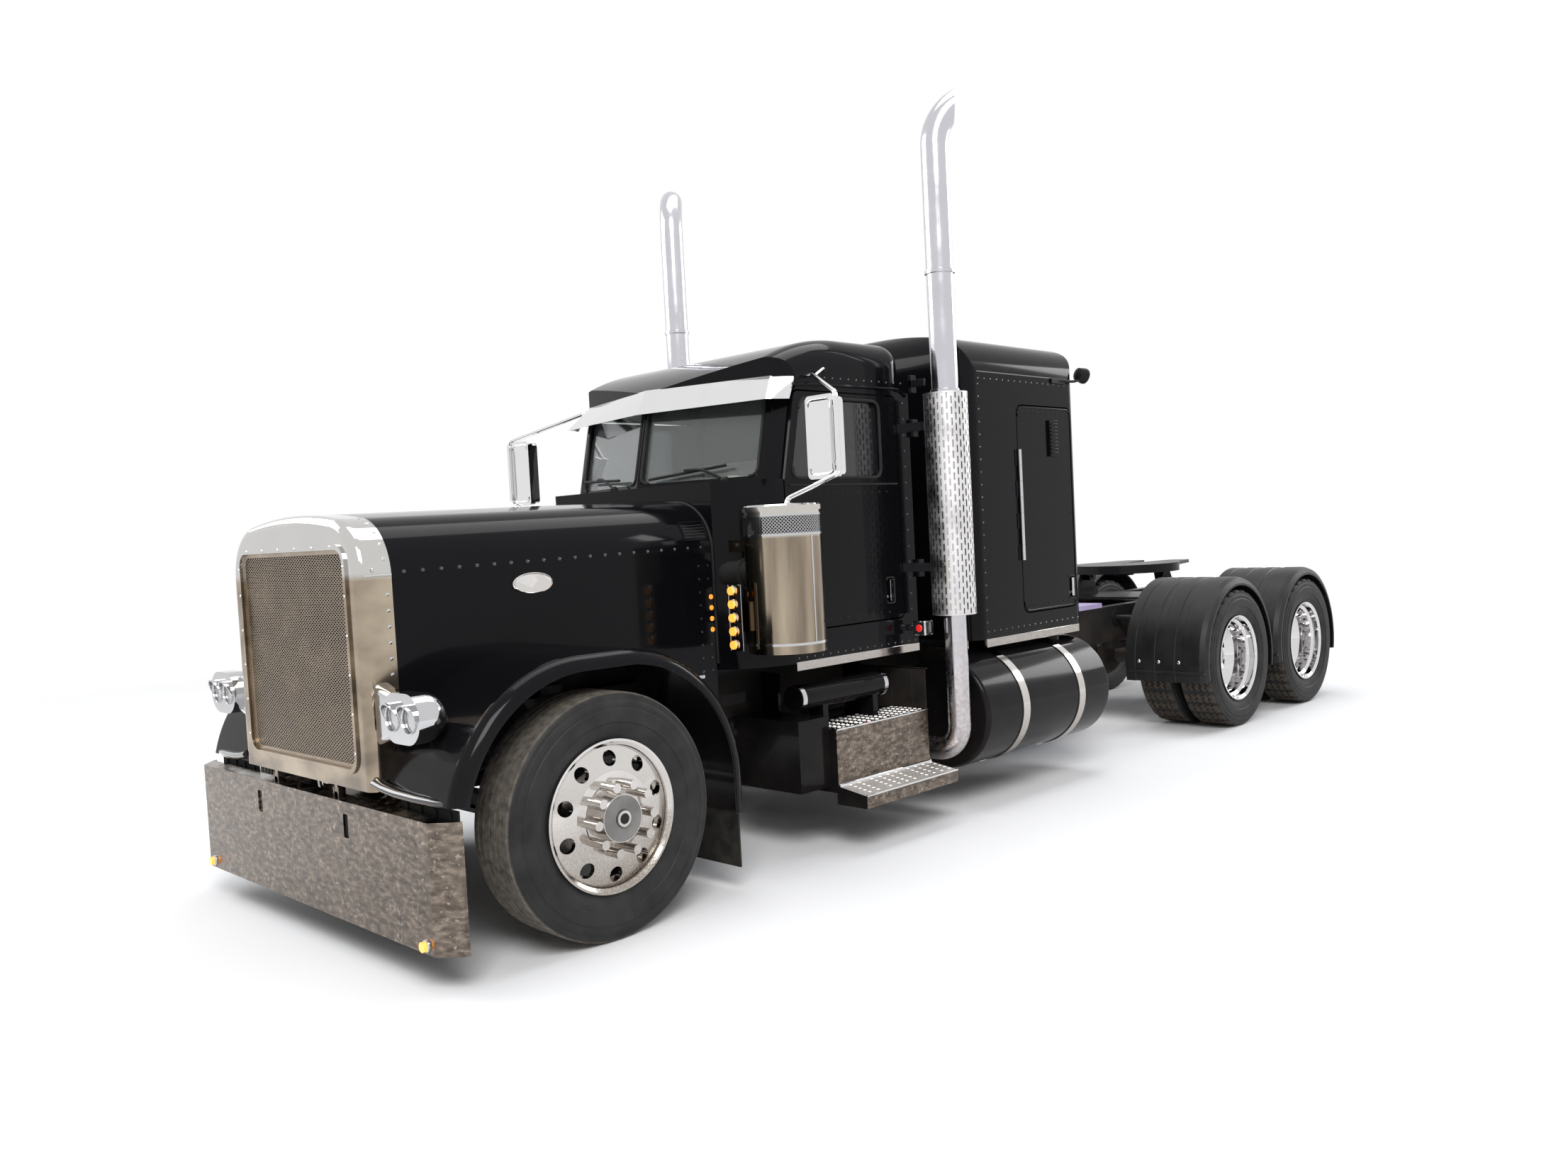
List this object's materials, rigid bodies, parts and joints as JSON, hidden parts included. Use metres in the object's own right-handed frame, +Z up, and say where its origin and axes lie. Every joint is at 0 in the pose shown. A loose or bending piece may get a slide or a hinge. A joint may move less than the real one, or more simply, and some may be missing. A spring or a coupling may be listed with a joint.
{
  "type": "semi truck tractor unit",
  "caption": "Black long-nose semi truck tractor with a flat-top sleeper, polished bumper, grille and visor, upright exhaust stacks, tandem drive axles and a fifth wheel.",
  "frame": {"origin": "on the floor below the middle of the whole truck's length and width", "axes": "+X to the truck's left, +Y to its rear, +Z up"},
  "size_m": [2.802, 8.7549, 4.0514],
  "materials": {
    "chassis_black": "satin",
    "gloss_black": "gloss",
    "polished_steel": "polished",
    "screen_steel": "satin",
    "iron": "matte",
    "flap_rubber": "matte",
    "lamp_glass": "gloss",
    "clear_glass": "gloss",
    "tinted_glass": "gloss",
    "dash_plastic": "matte",
    "seat_leather": "satin",
    "amber_lens": "gloss",
    "fender_plastic": "satin",
    "deck_aluminium": "satin",
    "tyre_rubber": "matte",
    "wheel_aluminium": "polished"
  },
  "bodies": {
    "chassis": {"frame_rails": "chassis_black", "crossmembers": "chassis_black", "front_bumper": "polished_steel", "powertrain": "iron", "axles": "chassis_black", "springs": "chassis_black", "cab_cowl": "gloss_black", "cab_rear": "gloss_black", "cab_floor": "gloss_black", "cab_roof": "gloss_black", "windscreen": "clear_glass", "dashboard": "dash_plastic", "seats": "seat_leather", "sun_visor": "polished_steel", "sleeper_floor": "gloss_black", "sleeper_ends": "gloss_black", "sleeper_sides": "gloss_black", "sleeper_roof": "gloss_black", "boot": "flap_rubber", "tanks": "gloss_black", "tank_brackets": "chassis_black", "step_boxes": "chassis_black", "exhaust_stacks": "polished_steel", "air_cleaners": "polished_steel", "marker_lamps": "amber_lens", "mirrors": "polished_steel", "rear_fenders": "fender_plastic", "deck_plate": "deck_aluminium", "fifth_wheel_base": "chassis_black"},
    "hood": {"hood": "gloss_black", "grille_shell": "polished_steel", "grille_screen": "screen_steel", "front_fenders": "gloss_black", "front_mudflaps": "flap_rubber", "headlamps": "polished_steel", "headlamp_lenses": "lamp_glass"},
    "knuckle_left": {"knuckle_left": "chassis_black"},
    "knuckle_right": {"knuckle_right": "chassis_black"},
    "tie_rod": {"tie_rod": "chassis_black"},
    "front_wheel_left": {"front_wheel_left": "wheel_aluminium", "front_tyre_left": "tyre_rubber"},
    "front_wheel_right": {"front_wheel_right": "wheel_aluminium", "front_tyre_right": "tyre_rubber"},
    "drive_wheel_1_left": {"drive_wheel_1_left": "wheel_aluminium", "drive_tyres_1_left": "tyre_rubber"},
    "drive_wheel_1_right": {"drive_wheel_1_right": "wheel_aluminium", "drive_tyres_1_right": "tyre_rubber"},
    "drive_wheel_2_left": {"drive_wheel_2_left": "wheel_aluminium", "drive_tyres_2_left": "tyre_rubber"},
    "drive_wheel_2_right": {"drive_wheel_2_right": "wheel_aluminium", "drive_tyres_2_right": "tyre_rubber"},
    "door_left": {"door_left": "gloss_black", "door_glass_left": "tinted_glass"},
    "door_right": {"door_right": "gloss_black", "door_glass_right": "tinted_glass"},
    "bunk_door_left": {"bunk_door_left": "gloss_black"},
    "bunk_door_right": {"bunk_door_right": "gloss_black"},
    "fifth_wheel": {"fifth_wheel": "chassis_black"}
  },
  "joints": [
    {"name": "hood_tilt", "type": "hinge", "parent": "chassis", "child": "hood", "pos_m": [0, -4.3105, 0.684], "axis": [1, 0, 0], "range_deg": [0, 70]},
    {"name": "steer_left", "type": "hinge", "parent": "chassis", "child": "knuckle_left", "pos_m": [0.85, -3.5385, 0.522], "axis": [0, 0, 1], "range_deg": [-38, 38]},
    {"name": "steer_right", "type": "hinge", "parent": "chassis", "child": "knuckle_right", "pos_m": [-0.85, -3.5385, 0.522], "axis": [0, 0, 1], "range_deg": [-38, 38]},
    {"name": "tie_rod_swing", "type": "hinge", "parent": "knuckle_left", "child": "tie_rod", "pos_m": [0.85, -3.2785, 0.383], "axis": [0, 0, 1], "range_deg": [-38, 38]},
    {"name": "front_wheel_left_spin", "type": "hinge", "parent": "knuckle_left", "child": "front_wheel_left", "pos_m": [1.044, -3.5385, 0.522], "axis": [1, 0, 0], "continuous": true},
    {"name": "front_wheel_right_spin", "type": "hinge", "parent": "knuckle_right", "child": "front_wheel_right", "pos_m": [-1.044, -3.5385, 0.522], "axis": [1, 0, 0], "continuous": true},
    {"name": "drive_wheel_1_left_spin", "type": "hinge", "parent": "chassis", "child": "drive_wheel_1_left", "pos_m": [0.919, 2.4415, 0.522], "axis": [1, 0, 0], "continuous": true},
    {"name": "drive_wheel_1_right_spin", "type": "hinge", "parent": "chassis", "child": "drive_wheel_1_right", "pos_m": [-0.919, 2.4415, 0.522], "axis": [1, 0, 0], "continuous": true},
    {"name": "drive_wheel_2_left_spin", "type": "hinge", "parent": "chassis", "child": "drive_wheel_2_left", "pos_m": [0.919, 3.7555, 0.522], "axis": [1, 0, 0], "continuous": true},
    {"name": "drive_wheel_2_right_spin", "type": "hinge", "parent": "chassis", "child": "drive_wheel_2_right", "pos_m": [-0.919, 3.7555, 0.522], "axis": [1, 0, 0], "continuous": true},
    {"name": "door_left_swing", "type": "hinge", "parent": "chassis", "child": "door_left", "pos_m": [0.892, -2.1345, 1.7], "axis": [0, 0, -1], "range_deg": [0, 70]},
    {"name": "door_right_swing", "type": "hinge", "parent": "chassis", "child": "door_right", "pos_m": [-0.892, -2.1345, 1.7], "axis": [0, 0, 1], "range_deg": [0, 70]},
    {"name": "bunk_door_left_swing", "type": "hinge", "parent": "chassis", "child": "bunk_door_left", "pos_m": [1.012, -0.1745, 1.7], "axis": [0, 0, -1], "range_deg": [0, 90]},
    {"name": "bunk_door_right_swing", "type": "hinge", "parent": "chassis", "child": "bunk_door_right", "pos_m": [-1.012, -0.1745, 1.7], "axis": [0, 0, 1], "range_deg": [0, 90]},
    {"name": "fifth_wheel_rock", "type": "hinge", "parent": "chassis", "child": "fifth_wheel", "pos_m": [0, 2.9115, 1.14], "axis": [1, 0, 0], "range_deg": [-12, 12]}
  ],
  "couplings": [
    {"joint": "steer_right", "follows": "steer_left", "ratio": 1},
    {"joint": "tie_rod_swing", "follows": "steer_left", "ratio": -1}
  ]
}
